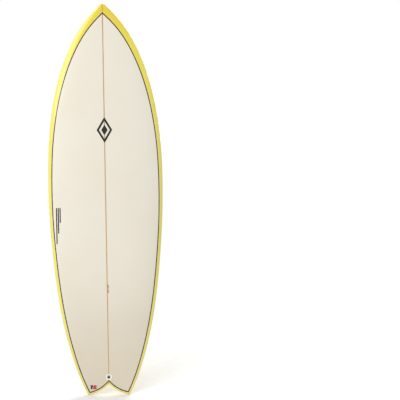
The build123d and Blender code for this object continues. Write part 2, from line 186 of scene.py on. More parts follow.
def bottom_power(z):
    """How square the bottom runs into the rail: squarer towards the tail."""
    blend = np.clip((SQUARE_RAIL_FRONT - z) / SQUARE_RAIL_BLEND, 0, 1)
    return BOTTOM_POWER + (TAIL_BOTTOM_POWER - BOTTOM_POWER) * blend * blend * (3 - 2 * blend)


def smooth_line(points, start, end, step):
    """Clamped cubic spline through plane points, sampled about every step."""
    p = np.array(points, float)
    h = np.linalg.norm(np.diff(p, axis=0), axis=1)
    n = len(p)
    a, b = np.zeros((n, n)), np.zeros((n, 2))
    a[0, 0] = a[-1, -1] = 1
    b[0] = np.array(start) / np.linalg.norm(start)
    b[-1] = np.array(end) / np.linalg.norm(end)
    for i in range(1, n - 1):
        a[i, i - 1], a[i, i], a[i, i + 1] = h[i], 2 * (h[i - 1] + h[i]), h[i - 1]
        before, after = (p[i] - p[i - 1]) / h[i - 1], (p[i + 1] - p[i]) / h[i]
        b[i] = 3 * (h[i] * before + h[i - 1] * after)
    m = np.linalg.solve(a, b)
    out = []
    for i in range(n - 1):
        count = max(2, int(h[i] / step))
        t = np.arange(count)[:, None] / count
        out.append(
            (2 * t**3 - 3 * t**2 + 1) * p[i] + (t**3 - 2 * t**2 + t) * h[i] * m[i]
            + (3 * t**2 - 2 * t**3) * p[i + 1] + (t**3 - t**2) * h[i] * m[i + 1]
        )
    return np.vstack(out)


def make_outline():
    """Right half of the plan outline from behind the tail tip to the nose, and its directions."""
    centre = LENGTH - TIP_RADIUS
    joint = (TIP_RADIUS * math.sin(TIP_ANGLE), centre + TIP_RADIUS * math.cos(TIP_ANGLE))
    ahead = (-math.cos(TIP_ANGLE), math.sin(TIP_ANGLE))
    flank = smooth_line([*RAIL_OUTLINE, joint], (0.5, 1.0), ahead, OUTLINE_STEP)
    turn = np.linspace(TIP_ANGLE, 0, TIP_STEPS)
    tip = np.column_stack((TIP_RADIUS * np.sin(turn), centre + TIP_RADIUS * np.cos(turn)))
    line = np.vstack((flank, tip))
    way = np.gradient(line, axis=0)
    way /= np.linalg.norm(way, axis=1)[:, None]
    return line, way


OUTLINE, OUTLINE_WAY = make_outline()


def half_width(z):
    """Half of the board's width."""
    return np.interp(z, OUTLINE[:, 1], OUTLINE[:, 0])


# Each lobe's end is an arc about a centre ahead of it
CHORD = math.hypot(TAIL_TIP_HALF, SWALLOW_DEPTH)
ARC_RADIUS = CHORD**2 / (8 * SWALLOW_SAGITTA) + SWALLOW_SAGITTA / 2
ARC_REACH = (ARC_RADIUS - SWALLOW_SAGITTA) / CHORD
ARC_X = TAIL_TIP_HALF / 2 + SWALLOW_DEPTH * ARC_REACH
ARC_Z = SWALLOW_DEPTH / 2 + TAIL_TIP_HALF * ARC_REACH


def from_swallow(x, z):
    """Distance inside the swallow tail's cut."""
    return ARC_RADIUS - np.hypot(np.abs(x) - ARC_X, np.minimum(z - ARC_Z, 0))


def eased(x, z, full):
    """Share of the height left by the nose's rounding and the fillet of the swallow edge."""
    short = np.clip(1 - (LENGTH - z) / NOSE_ROUNDING, 0, 1)
    inside = np.clip(from_swallow(x, z) / EDGE_FILLET, 0, 1)
    drop = EDGE_FILLET / full * (1 - np.sqrt(1 - (1 - inside) ** 2))
    return np.sqrt(1 - short**2) * (1 - drop)


def across(x, z):
    """How far towards the rail a point lies, from 0 at the stringer to 1."""
    reach = np.maximum(half_width(z) - FLAT_HALF, 1e-3)
    return np.clip((np.abs(x) - FLAT_HALF) / reach, 0, 1)


def deck_height(x, z):
    """Y of the deck."""
    full = (1 - RAIL_HEIGHT) * thickness(z)
    rise = (1 - across(x, z) ** DECK_POWER) ** (1 / DECK_ROUNDING)
    return rail_line(z) - full * rise * eased(x, z, full)


def bottom_height(x, z):
    """Y of the bottom."""
    full = RAIL_HEIGHT * thickness(z)
    rise = (1 - across(x, z) ** bottom_power(z)) ** (1 / BOTTOM_ROUNDING)
    return rail_line(z) + full * rise * eased(x, z, full)


# ---- Lines in the plane of the board: arrays of (across, forward) ----------------------------

def lap_width(z):
    """How far the tinted cloth laps on to the deck."""
    stations, widths = zip(*LAP_WIDTHS)
    return np.interp(z, stations, widths)


def bunched(count):
    """Shares of a length, closer together at the tail tip and round the nose."""
    q = np.linspace(0, 1, 4000)
    near_tail = TAIL_BUNCHING[0] * np.exp(-q / TAIL_BUNCHING[1])
    near_nose = NOSE_BUNCHING[0] * np.exp(-(1 - q) / NOSE_BUNCHING[1])
    spacing = 1 - near_tail - near_nose
    steps = np.concatenate(([0], np.cumsum(0.5 / spacing[1:] + 0.5 / spacing[:-1])))
    return np.interp(np.linspace(0, 1, count), steps / steps[-1], q)


RAIL_SHARES = bunched(RAIL_STEPS)


def inset_rail(rail_inset, swallow_inset):
    """The outline moved inwards, from the swallow tail's cut to the centre line at the nose."""
    inset = rail_inset(OUTLINE[:, 1]) if callable(rail_inset) else np.full(len(OUTLINE), rail_inset)
    x = OUTLINE[:, 0] - inset * OUTLINE_WAY[:, 1]
    z = OUTLINE[:, 1] + inset * OUTLINE_WAY[:, 0]
    ahead = from_swallow(x, z) - swallow_inset
    first = int(np.argmax(ahead > 0))
    share = ahead[first] / (ahead[first] - ahead[first - 1])
    start = (x[first] + (x[first - 1] - x[first]) * share, z[first] + (z[first - 1] - z[first]) * share)
    past = np.nonzero(x[first:] <= 1e-9)[0]
    last = first + int(past[0]) if len(past) else len(x) - 1
    share = x[last - 1] / (x[last - 1] - x[last])
    apex = (0.0, z[last - 1] + (z[last] - z[last - 1]) * share)
    return np.vstack(([start], np.column_stack((x, z))[first:last], [apex]))


def row(rail_inset, swallow_inset):
    """Right half of a line inside the outline, from the crotch round the tail tip to the nose."""
    line = inset_rail(rail_inset, swallow_inset)
    run = np.concatenate(([0], np.cumsum(np.linalg.norm(np.diff(line, axis=0), axis=1))))
    at = RAIL_SHARES * run[-1]
    rail = np.column_stack((np.interp(at, run, line[:, 0]), np.interp(at, run, line[:, 1])))
    x = np.linspace(0, line[0, 0], SWALLOW_STEPS)
    z = ARC_Z - np.sqrt((ARC_RADIUS - swallow_inset) ** 2 - (x - ARC_X) ** 2)
    return np.vstack((np.column_stack((x, z))[:-1], rail))


def loop_of(right):
    """Closed loop from a right half that starts and ends on the centre line."""
    left = right[-2:0:-1] * (-1, 1)
    return np.vstack((right, left))


def circle(x, z, rx, rz, count):
    """Circle, or an ellipse with its axes along X and Z."""
    t = np.arange(count) / count * 2 * math.pi
    return np.column_stack((x + rx * np.cos(t), z + rz * np.sin(t)))


def slot_outline(x, z, length, width, upright):
    """Stadium outline round a centre."""
    r, half = width / 2, (length - width) / 2
    t = np.linspace(-math.pi / 2, math.pi / 2, 9)
    end = np.column_stack((half + r * np.cos(t), r * np.sin(t)))
    shape = np.vstack((end, -end))
    if upright:
        shape = shape[:, ::-1] * (-1, 1)
    return shape + (x, z)


def lozenge(z, half_x, half_z):
    corners = np.array([(half_x, z), (0, z + half_z), (-half_x, z), (0, z - half_z)], float)
    return refined(corners, LOZENGE_STEP)


def refined(corners, step):
    """Closed polygon with its edges divided."""
    out = []
    for a, b in zip(corners, np.roll(corners, -1, axis=0)):
        count = max(1, int(np.linalg.norm(b - a) / step))
        out += [a + (b - a) * k / count for k in range(count)]
    return np.array(out)


def petal(length, half, distance, turn, z):
    """Pointed oval standing on a circle round an emblem's centre."""
    radius = (length**2 / 4 + half**2) / (2 * half)
    reach = math.asin(length / 2 / radius)
    t = np.linspace(-reach, reach, 15)
    side = np.column_stack((radius * np.cos(t) - (radius - half), radius * np.sin(t)))
    shape = np.vstack((side[:-1], -side[:-1])) + (0, distance)
    c, s = math.cos(turn), math.sin(turn)
    return shape @ np.array([[c, s], [-s, c]]) + (0, z)


def inside(points, loop):
    """Which points lie in a polygon."""
    result = np.zeros(len(points), bool)
    x, z = points[:, 0], points[:, 1]
    for (x0, z0), (x1, z1) in zip(loop, np.roll(loop, -1, axis=0)):
        if z0 == z1:
            continue
        crossing = (z0 > z) != (z1 > z)
        result ^= crossing & (x < (x1 - x0) * (z - z0) / (z1 - z0) + x0)
    return result


# ---- Prints, as outlines ----------------------------------------------------------------------

def rail_stripe(k, length):
    """One stripe of the rail mark; their forward ends are level."""
    x = RAIL_MARK_CENTRE[0] + RAIL_STRIPE_STEP * k
    z = RAIL_MARK_CENTRE[1] + (RAIL_STRIPE_LENGTHS[0] - length) / 2
    return slot_outline(x, z, length, RAIL_STRIPE_WIDTH, True)


def sticker():
    (x, z), (width, height) = STICKER_CENTRE, STICKER_SIZE
    left, right, low, high = x - width / 2, x + width / 2, z - height / 2, z + height / 2
    corners = np.array([(left, low), (right, low), (right, high), (left, high)])
    return refined(corners, STICKER_STEP)


def rosette():
    petals = [
        petal(PETAL_LENGTH, PETAL_HALF_WIDTH, PETAL_CENTRE_RADIUS, math.radians(turn), ROSETTE_Z)
        for turn in np.arange(PETAL_COUNT) * 360 / PETAL_COUNT
    ]
    return petals + [circle(0, ROSETTE_Z, ROSETTE_DISC_RADIUS, ROSETTE_DISC_RADIUS, count=32)]


def bar(k):
    """One bar of a stack whose ends follow an ellipse."""
    offset = (k - (BAR_COUNT - 1) / 2) / (BAR_COUNT / 2)
    length = BAR_STACK_WIDTH * math.sqrt(1 - offset**2)
    return slot_outline(0, BAR_STACK_Z + BAR_STACK_HALF_HEIGHT * offset, length, BAR_THICKNESS, False)


DECK_EMBLEM = [lozenge(DECK_EMBLEM_Z, *halves) for halves in DECK_EMBLEM_RINGS]
RAIL_STRIPES = [rail_stripe(k, length) for k, length in enumerate(RAIL_STRIPE_LENGTHS)]
STICKER = sticker()
ROSETTE = rosette()
BARS = [bar(k) for k in range(BAR_COUNT)]
TAIL_DISC = circle(0, DISC_Z, *DISC_RADII, count=40)
LEASH_RING = circle(0, LEASH_Z, LEASH_RADIUS, LEASH_RADIUS, count=48)


def arc(x, y, radius, start, end, count):
    """Points of an arc, without its last one."""
    t = np.linspace(start, end, count)
    return np.column_stack((x + radius * np.cos(t), y + radius * np.sin(t)))[:-1]


def dogbone(sign):
    """A fin plug's outline in the plane of the board, from the mount on its face."""
    mounts = {m["name"]: m for m in frame["record"]["mounts"]}
    mount = mounts["fin_seat_left" if sign < 0 else "fin_seat_right"]
    origin = np.array(mount["pos_m"]) / MM
    normal = np.array(mount["axis"])
    forward = np.array((0, 0, 1)) - normal * normal[2]
    forward /= np.linalg.norm(forward)
    side = np.cross(forward, normal)
    lobe, half, waist = PLUG_LOBE, PLUG_HALF_SPACING, PLUG_WAIST
    bend = (waist**2 + half**2 - lobe**2) / (2 * (lobe - waist))
    lean = math.atan2(half, waist + bend)
    shape = np.vstack((
        arc(0, half, lobe, -lean, math.pi + lean, LOBE_STEPS),
        arc(-waist - bend, 0, bend, lean, -lean, WAIST_STEPS),
        arc(0, -half, lobe, math.pi - lean, 2 * math.pi + lean, LOBE_STEPS),
        arc(waist + bend, 0, bend, math.pi + lean, math.pi - lean, WAIST_STEPS),
    ))
    points = origin + shape[:, :1] * side + shape[:, 1:] * forward - normal * PLUG_PROUD
    return points[:, [0, 2]]


# ---- The whole outer surface, with each face marked by its region -----------------------------

def triangles(loops, dots):
    """Plane triangles that follow every loop's edges and use the dots."""
    points, edges = [], []
    for loop in loops:
        start, count = len(points), len(loop)
        points += [Vector(p) for p in loop]
        edges += [(start + k, start + (k + 1) % count) for k in range(count)]
    points += [Vector(p) for p in dots]
    result = geometry.delaunay_2d_cdt(points, edges, [], 0, 1e-6)
    places = np.array([tuple(p) for p in result[0]])
    faces = np.array([f for f in result[2] if len(f) == 3])
    middles = places[faces].mean(axis=1)
    keep = inside(middles, loops[0])
    return places, faces[keep], middles[keep]


def plane_tree(points):
    """Search tree of points in the plane of the board."""
    tree = kdtree.KDTree(len(points))
    for k, (x, z) in enumerate(points):
        tree.insert((x, z, 0), k)
    tree.balance()
    return tree


def grid_inside(loops, spacing):
    """Staggered grid points within the first loop and clear of all loops."""
    low, high = loops[0].min(axis=0), loops[0].max(axis=0)
    xs = np.arange(low[0], high[0], spacing)
    zs = np.arange(low[1], high[1], spacing * GRID_ROW)
    points = np.array([(x + (k % 2) * spacing / 2, z) for k, z in enumerate(zs) for x in xs])
    points = points[inside(points, loops[0])]
    tree = plane_tree(np.vstack([refined(loop, LINE_STEP) for loop in loops]))
    return [p for p in points if tree.find((p[0], p[1], 0))[2] > spacing * GRID_CLEARANCE]


def marked(middles, marks, base):
    """Region of each triangle: the first mark that holds it.

    A mark is its region's number, its outlines, and whether each outline inside another leaves
    a gap in it.
    """
    region = np.full(len(middles), base, int)
    unmarked = np.ones(len(middles), bool)
    for number, outlines, nested in marks:
        within = np.zeros(len(middles), bool)
        for outline in outlines:
            now = inside(middles, outline)
            within = within ^ now if nested else within | now
        region[unmarked & within] = number
        unmarked &= ~within
    return region


REGIONS = [
    "bottom_skin", "pinline_band", "deck_skin", "print_deck_emblem", "print_rail_stripes",
    "print_tail_sticker", "print_bottom_rosette", "print_bottom_bars", "print_tail_disc", "hole",
]
NUMBER = {name: k for k, name in enumerate(REGIONS)}


class Skin:
    """The closed outer surface while it is built, each face marked with its region."""

    def __init__(self):
        self.mesh = bmesh.new()
        self.region = self.mesh.faces.layers.int.new("region")

    def verts(self, plan, height):
        heights = height(plan[:, 0], plan[:, 1])
        return [self.mesh.verts.new((x * MM, y * MM, z * MM)) for (x, z), y in zip(plan, heights)]

    def rows(self, previous, plans, height):
        """Rows of faces from a loop through each plan line in turn."""
        for plan in plans:
            now = self.verts(plan, height)
            for k, after in enumerate([*range(1, len(now)), 0]):
                face = self.mesh.faces.new((previous[k], previous[after], now[after], now[k]))
                face[self.region] = NUMBER["bottom_skin"]
            previous = now

    def pave(self, loops, marks, base, height):
        """Triangles within the first loop, each in the region of the mark that holds it."""
        places, faces, middles = triangles(loops, grid_inside(loops, GRID))
        verts = self.verts(places, height)
        for face, number in zip(faces, marked(middles, marks, base)):
            self.mesh.faces.new([verts[k] for k in face])[self.region] = int(number)

    def close(self):
        """Join the parts along their shared lines and turn every face outwards."""
        bmesh.ops.remove_doubles(self.mesh, verts=self.mesh.verts, dist=MERGE_DISTANCE)
        loose = [v for v in self.mesh.verts if not v.link_faces]
        bmesh.ops.delete(self.mesh, geom=loose, context="VERTS")
        bmesh.ops.recalc_face_normals(self.mesh, faces=self.mesh.faces)
        if self.mesh.calc_volume(signed=True) < 0:
            bmesh.ops.reverse_faces(self.mesh, faces=self.mesh.faces)
        self.mesh.normal_update()
        self.mesh.verts.index_update()

    def read(self):
        """Vertices, their normals, and faces with their regions."""
        places = np.array([v.co for v in self.mesh.verts])
        normals = np.array([v.normal for v in self.mesh.verts])
        faces = [([v.index for v in f.verts], f[self.region]) for f in self.mesh.faces]
        self.mesh.free()
        return places, normals, faces


def quarter_insets(count):
    """Insets of a quarter turn's rows, from the rail inwards."""
    return [RIM * (1 - math.cos(math.pi / 2 * k / count)) for k in range(count + 1)]


def deck_marks(cut_inner):
    return [
        (NUMBER["hole"], [LEASH_RING], False),
        (NUMBER["print_deck_emblem"], DECK_EMBLEM, True),
        (NUMBER["print_rail_stripes"], RAIL_STRIPES, False),
        (NUMBER["print_tail_sticker"], [STICKER], False),
        (NUMBER["deck_skin"], [cut_inner], False),
    ]


def bottom_marks(plugs):
    return [
        (NUMBER["hole"], plugs, False),
        (NUMBER["print_bottom_rosette"], ROSETTE, False),
        (NUMBER["print_bottom_bars"], BARS, False),
        (NUMBER["print_tail_disc"], [TAIL_DISC], False),
    ]


def build_surface():
    """Vertices in metres, normals, and faces with their regions."""
    # The wall of the swallow tail's cut is upright, so its first two rows have the same inset
    insets = zip(quarter_insets(RIM_ROWS), [0.0, *quarter_insets(RIM_ROWS - 1)])
    border, *rim = [loop_of(row(rail, swallow)) for rail, swallow in insets]
    cut = loop_of(row(lap_width, SWALLOW_LAP))
    cut_inner = loop_of(row(lambda z: lap_width(z) + PINLINE_WIDTH, SWALLOW_LAP + PINLINE_WIDTH))
    lap = [rim[-1] + (cut - rim[-1]) * k / LAP_ROWS for k in range(1, LAP_ROWS + 1)]
    guides = [loop_of(row(rail, swallow)) for rail, swallow in GUIDES]
    plugs = [dogbone(-1), dogbone(1)]

    skin = Skin()
    edge = skin.verts(border, lambda x, z: rail_line(z))
    skin.rows(edge, rim + lap, deck_height)
    skin.rows(edge, rim, bottom_height)
    deck_lines = [cut, cut_inner, LEASH_RING, *DECK_EMBLEM, *RAIL_STRIPES, STICKER]
    skin.pave(deck_lines, deck_marks(cut_inner), NUMBER["pinline_band"], deck_height)
    bottom_lines = [rim[-1], *guides, *plugs, *ROSETTE, *BARS, TAIL_DISC]
    skin.pave(bottom_lines, bottom_marks(plugs), NUMBER["bottom_skin"], bottom_height)
    skin.close()
    places, normals, faces = skin.read()
    return places, exact_normals(places, normals, border), faces


def exact_normals(places, normals, border):
    """Normals from the surface's own slopes, blended to the mesh's near the rail."""
    x, y, z = (places / MM).T
    step = SLOPE_STEP
    on_deck = y < rail_line(z)
    result = normals.copy()
    for height, side, out in ((deck_height, on_deck, -1.0), (bottom_height, ~on_deck, 1.0)):
        xs, zs = x[side], z[side]
        slope_x = (height(xs + step, zs) - height(xs - step, zs)) / (2 * step)
        slope_z = (height(xs, zs + step) - height(xs, zs - step)) / (2 * step)
        exact = np.column_stack((-out * slope_x, np.full(len(xs), out), -out * slope_z))
        exact /= np.linalg.norm(exact, axis=1)[:, None]
        result[side] = exact
    tree = plane_tree(border)
    distance = np.array([tree.find((px, pz, 0))[2] for px, pz in zip(x, z)])
    blend = np.clip((distance - RIM_NORMALS) / NORMAL_BLEND, 0, 1)[:, None]
    result = normals * (1 - blend) + result * blend
    return result / np.linalg.norm(result, axis=1)[:, None]


def open_sides(faces):
    """Edges that only one face has, in that face's direction."""
    sides = dict.fromkeys(side for face in faces for side in zip(face, face[1:] + face[:1]))
    return [(a, b) for a, b in sides if (b, a) not in sides]


def corner_normals(mesh, skin_faces, kept):
    """A normal for each corner: the surface's own on both skins, the face's own on the walls."""
    result = []
    for number, polygon in enumerate(mesh.polygons):
        for vertex in polygon.vertices:
            if number < skin_faces:
                result.append(kept[vertex])
            elif number < 2 * skin_faces:
                result.append(-kept[vertex - len(kept)])
            else:
                result.append(np.array(polygon.normal))
    return np.array(result).tolist()


def shell(name, faces, places, normals, depth):
    """Closed thin piece from some faces of the surface, with the surface's own normals."""
    used = sorted({k for face in faces for k in face})
    order = {k: n for n, k in enumerate(used)}
    count = len(used)
    outer = places[used]
    inner = outer - normals[used] * depth
    rings = [[order[k] for k in face] for face in faces]
    backs = [[k + count for k in reversed(ring)] for ring in rings]
    walls = [[b, a, a + count, b + count] for a, b in open_sides(rings)]
    mesh = bpy.data.meshes.new(name)
    mesh.from_pydata(np.vstack((outer, inner)).tolist(), [], rings + backs + walls)
    mesh.update()
    custom = corner_normals(mesh, len(rings), normals[used])
    mesh.polygons.foreach_set("use_smooth", [True] * len(mesh.polygons))
    mesh.normals_split_custom_set(custom)
    piece = bpy.data.objects.new(name, mesh)
    bpy.context.scene.collection.objects.link(piece)
    return piece


SURFACE = build_surface()


def cut_piece(name, depth, node):
    """One region of the surface as a closed piece that replaces its CAD node."""
    places, normals, faces = SURFACE
    chosen = [face for face, number in faces if number == NUMBER[name]]
    piece = shell(name, chosen, places, normals, depth * MM)
    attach(piece, "board")
    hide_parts(node)
    return piece


# ---- Materials --------------------------------------------------------------------------------

RESIN_IOR = 1.5
SPECULAR = 0.5
SPECULAR_UNDER_COAT = 0.12
POLISHED = 0.09
SATIN = 0.17
STRINGER_HALF = FLAT_HALF * MM
GLUE_HALF = 0.0042
STRINGER_EDGE = 0.00035
STRINGER_WANDER = 0.0006
WEAVE = 0.0011
WEAVE_RELIEF = 0.00002
DASH_EDGE = 0.0007
DECK_DASHES = {
    "middle": 0.0042, "heights": (0.478, 0.499),
    "half_width": 0.003, "half_length": 0.009, "strength": 0.7,
}
BOTTOM_DASHES = {
    "middle": -0.003, "heights": [0.457 + 0.011 * k for k in range(9)],
    "half_width": 0.0017, "half_length": 0.0036, "strength": 0.55,
}
# Pale rings in the rosette and the tail disc: height of the middle, radius, half width
PALE_RINGS = (
    (ROSETTE_Z * MM, 0.0125, 0.0012), (ROSETTE_Z * MM, 0.022, 0.0009),
    (ROSETTE_Z * MM, 0.052, 0.0011), (DISC_Z * MM, 0.0112, 0.0012),
)
RING_EDGE = 0.0004
# Radii between which painted shade darkens the leash plug's well
WELL_SHADE_EDGE = (0.0076, 0.0069)


def srgb(r, g, b):
    """Linear colour from 0 to 255 display values."""
    values = []
    for c in (r, g, b):
        c /= 255
        values.append(c / 12.92 if c <= 0.04045 else ((c + 0.055) / 1.055) ** 2.4)
    return (*values, 1.0)


class Paint:
    """Builds one procedural material around a Principled shader."""

    def __init__(self, name, roughness=0.3, metallic=0.0, coat=0.0, coat_roughness=0.03):
        self.material = bpy.data.materials.new(name)
        self.material.use_nodes = True
        self.nodes = self.material.node_tree.nodes
        self.links = self.material.node_tree.links
        self.shader = self.nodes["Principled BSDF"]
        self.shader.inputs["Roughness"].default_value = roughness
        self.shader.inputs["Metallic"].default_value = metallic
        self.shader.inputs["Coat Weight"].default_value = coat
        self.shader.inputs["Specular IOR Level"].default_value = SPECULAR_UNDER_COAT if coat else SPECULAR
        self.shader.inputs["Coat Roughness"].default_value = coat_roughness
        self.shader.inputs["IOR"].default_value = RESIN_IOR
        coordinates = self.nodes.new("ShaderNodeTexCoord")
        self.where = coordinates.outputs["Object"]
        self.facing = coordinates.outputs["Normal"]

    def put(self, socket, value):
        """Link a socket's output, or set a plain value; None leaves the input as it is."""
        if isinstance(value, bpy.types.NodeSocket):
            self.links.new(value, socket)
        elif value is not None:
            socket.default_value = value

    def math(self, operation, a, b=None):
        node = self.nodes.new("ShaderNodeMath")
        node.operation = operation
        self.put(node.inputs[0], a)
        self.put(node.inputs[1], b)
        return node.outputs[0]

    def scaled(self, x, y, z):
        node = self.nodes.new("ShaderNodeMapping")
        node.inputs["Scale"].default_value = (x, y, z)
        self.put(node.inputs["Vector"], self.where)
        return node.outputs[0]

    def axes(self, vector=None):
        node = self.nodes.new("ShaderNodeSeparateXYZ")
        self.put(node.inputs[0], vector or self.where)
        return node.outputs

    def radius(self, height):
        """Distance from a point on the board's middle line, in the board's plane."""
        x, _, z = self.axes()
        dz = self.math("SUBTRACT", z, height)
        squares = self.math("ADD", self.math("MULTIPLY", x, x), self.math("MULTIPLY", dz, dz))
        return self.math("SQRT", squares)

    def noise(self, scale, detail=3.0, rough=0.5, vector=None, warp=0.0):
        node = self.nodes.new("ShaderNodeTexNoise")
        node.inputs["Scale"].default_value = scale
        node.inputs["Detail"].default_value = detail
        node.inputs["Roughness"].default_value = rough
        node.inputs["Distortion"].default_value = warp
        self.put(node.inputs["Vector"], vector or self.where)
        return node.outputs["Fac"]

    def between(self, value, low, high, to_low=0.0, to_high=1.0, smooth=True):
        """Carry a value from one range to another, held at its ends."""
        node = self.nodes.new("ShaderNodeMapRange")
        node.interpolation_type = "SMOOTHSTEP" if smooth else "LINEAR"
        for name, number in (("From Min", low), ("From Max", high), ("To Min", to_low), ("To Max", to_high)):
            self.put(node.inputs[name], number)
        self.put(node.inputs["Value"], value)
        return node.outputs["Result"]

    def mix(self, factor, a, b):
        node = self.nodes.new("ShaderNodeMix")
        node.data_type = "RGBA"
        self.put(node.inputs["Factor"], factor)
        self.put(node.inputs["A"], a)
        self.put(node.inputs["B"], b)
        return node.outputs["Result"]

    def bump(self, height, distance, strength):
        node = self.nodes.new("ShaderNodeBump")
        node.inputs["Strength"].default_value = strength
        node.inputs["Distance"].default_value = distance
        self.put(node.inputs["Height"], height)
        return node.outputs["Normal"]

    def weave(self):
        """Plain weave of a cloth: strands over and under each other, in the board's plane."""
        x, _, z = self.axes()
        turns = math.tau / WEAVE
        u = self.math("SINE", self.math("MULTIPLY", x, turns))
        v = self.math("SINE", self.math("MULTIPLY", z, turns))
        return self.math("MULTIPLY", u, v)

    def finish(self, colour, roughness=None, normal=None, coat_normal=None):
        self.put(self.shader.inputs["Base Color"], colour)
        self.put(self.shader.inputs["Roughness"], roughness)
        self.put(self.shader.inputs["Normal"], normal)
        self.put(self.shader.inputs["Coat Normal"], coat_normal)
        return self.material


def stringer_mask(paint, half):
    """1 over the stringer, with the slightly soft edge that resin gives it."""
    x = paint.axes()[0]
    drift = paint.math("SUBTRACT", paint.noise(9.0, 2.0), 0.5)
    wander = paint.math("MULTIPLY", drift, STRINGER_WANDER)
    distance = paint.math("ABSOLUTE", paint.math("ADD", x, wander))
    return paint.between(distance, half + STRINGER_EDGE, half - STRINGER_EDGE)


def wood_colour(paint, light, dark):
    grain = paint.noise(1.0, 4.0, 0.6, paint.scaled(900, 60, 14), 0.3)
    return paint.mix(paint.between(grain, 0.3, 0.7), light, dark)


def gloss_waves(paint):
    """The slow unevenness of a hand-polished coat."""
    slow = paint.noise(7.0, 2.0, 0.4)
    return paint.bump(slow, 0.0003, 0.5)


def pencil_dashes(p, colour, middle, heights, half_width, half_length, strength):
    """Soft pencil dashes beside the stringer, one above the other."""
    x, _, z = p.axes()
    aside = p.math("ABSOLUTE", p.math("SUBTRACT", x, middle))
    across = p.between(aside, half_width + DASH_EDGE, half_width - DASH_EDGE, 0.0, strength)
    for height in heights:
        above = p.math("ABSOLUTE", p.math("SUBTRACT", z, height))
        along = p.between(above, half_length + DASH_EDGE, half_length - DASH_EDGE)
        colour = p.mix(p.math("MULTIPLY", across, along), colour, srgb(122, 112, 96))
    return colour


def clear_resin():
    """Clear glass on the deck: the cream foam, the stringer and the cloth's weave show through."""
    p = Paint("resin_clear_over_foam", 0.32, coat=1.0, coat_roughness=POLISHED)
    cloud = p.noise(3.5, 4.0, 0.55)
    cream = p.mix(p.between(cloud, 0.3, 0.7), srgb(248, 242, 227), srgb(245, 238, 220))
    cells = p.noise(900.0, 2.0, 0.5)
    cream = p.mix(p.between(cells, 0.35, 0.75, 0.0, 0.06), cream, srgb(226, 214, 190))
    z = p.axes()[2]
    # Painted shade: the deck's cream darkens towards the tail, standing in for the light falling off there
    tail_shade = p.between(z, 0.70, 0.03, 0.0, 0.75)
    cream = p.mix(tail_shade, cream, srgb(209, 197, 173))
    glue = p.mix(p.math("MULTIPLY", stringer_mask(p, GLUE_HALF), 0.35), cream, srgb(248, 240, 224))
    wood = wood_colour(p, srgb(218, 180, 122), srgb(184, 138, 82))
    colour = p.mix(stringer_mask(p, STRINGER_HALF), glue, wood)
    colour = pencil_dashes(p, colour, **DECK_DASHES)
    weave = p.weave()
    colour = p.mix(p.between(weave, -1, 1, 0.0, 0.045, False), colour, srgb(205, 190, 160))
    rough = p.between(p.noise(9.0, 2.0), 0.3, 0.7, 0.30, 0.34)
    fine = p.bump(weave, WEAVE_RELIEF, 0.3)
    return p.finish(colour, rough, fine, gloss_waves(p))


def yellow_resin():
    """Tinted glass: paler on the deck's lap and warmer at the nose, with painted shade that darkens the lap
    and the bottom towards the tail and the bottom's -X side near the nose.
    """
    p = Paint("resin_yellow_tint", 0.30, coat=1.0, coat_roughness=SATIN)
    cloud = p.noise(3.0, 2.0, 0.4, warp=0.3)
    colour = p.mix(p.between(cloud, 0.3, 0.7), srgb(248, 231, 44), srgb(243, 223, 34))
    streak = p.noise(1.0, 2.0, 0.4, p.scaled(9, 9, 2))
    colour = p.mix(p.between(streak, 0.45, 0.75, 0.0, 0.12), colour, srgb(236, 206, 22))
    x, _, z = p.axes()
    lap = p.between(p.axes(p.facing)[1], 0.05, -0.45)
    pale = p.math("MULTIPLY", lap, p.between(z, 1.75, 0.9, 0.3, 0.85))
    colour = p.mix(pale, colour, srgb(249, 238, 134))
    warm = p.math("MULTIPLY", lap, p.between(z, 1.6, 1.77, 0.0, 0.4))
    colour = p.mix(warm, colour, srgb(236, 194, 60))
    # Painted shade: the deck's lap turns darker and duller towards the tail, where the light falls off
    wear_and_shade = p.math("MULTIPLY", lap, p.between(z, 0.50, 0.02, 0.0, 0.5))
    colour = p.mix(wear_and_shade, colour, srgb(214, 192, 126))
    # Painted shade: the bottom's yellow darkens towards the tail, standing in for the light falling off
    # there
    bottom = p.math("SUBTRACT", 1.0, lap)
    tail_shade = p.math("MULTIPLY", bottom, p.between(z, 0.62, 0.0, 0.0, 0.6))
    colour = p.mix(tail_shade, colour, srgb(222, 192, 26))
    # Painted shade: the bottom darkens on its -X side near the nose, the side the light reaches less
    nose_side_shade = p.math("MULTIPLY", p.between(z, 1.28, 1.66), p.between(x, 0.05, -0.11, 0.0, 0.75))
    colour = p.mix(p.math("MULTIPLY", bottom, nose_side_shade), colour, srgb(218, 184, 20))
    wood = wood_colour(p, srgb(220, 172, 46), srgb(200, 146, 32))
    colour = p.mix(p.math("MULTIPLY", stringer_mask(p, STRINGER_HALF), 0.8), colour, wood)
    colour = pencil_dashes(p, colour, **BOTTOM_DASHES)
    weave = p.weave()
    colour = p.mix(p.between(weave, -1, 1, 0.0, 0.06, False), colour, srgb(205, 176, 30))
    rough = p.between(p.noise(9.0, 2.0), 0.3, 0.7, 0.28, 0.32)
    fine = p.bump(weave, WEAVE_RELIEF, 0.3)
    return p.finish(colour, rough, fine, gloss_waves(p))


def pinline_resin():
    """Dark resin line over the lap's cut edge."""
    p = Paint("resin_pinline", 0.28, coat=1.0, coat_roughness=POLISHED)
    tone = p.noise(60.0, 4.0, 0.6)
    colour = p.mix(p.between(tone, 0.35, 0.7), srgb(18, 13, 9), srgb(34, 26, 18))
    return p.finish(colour, p.between(tone, 0.3, 0.7, 0.22, 0.34), None, gloss_waves(p))


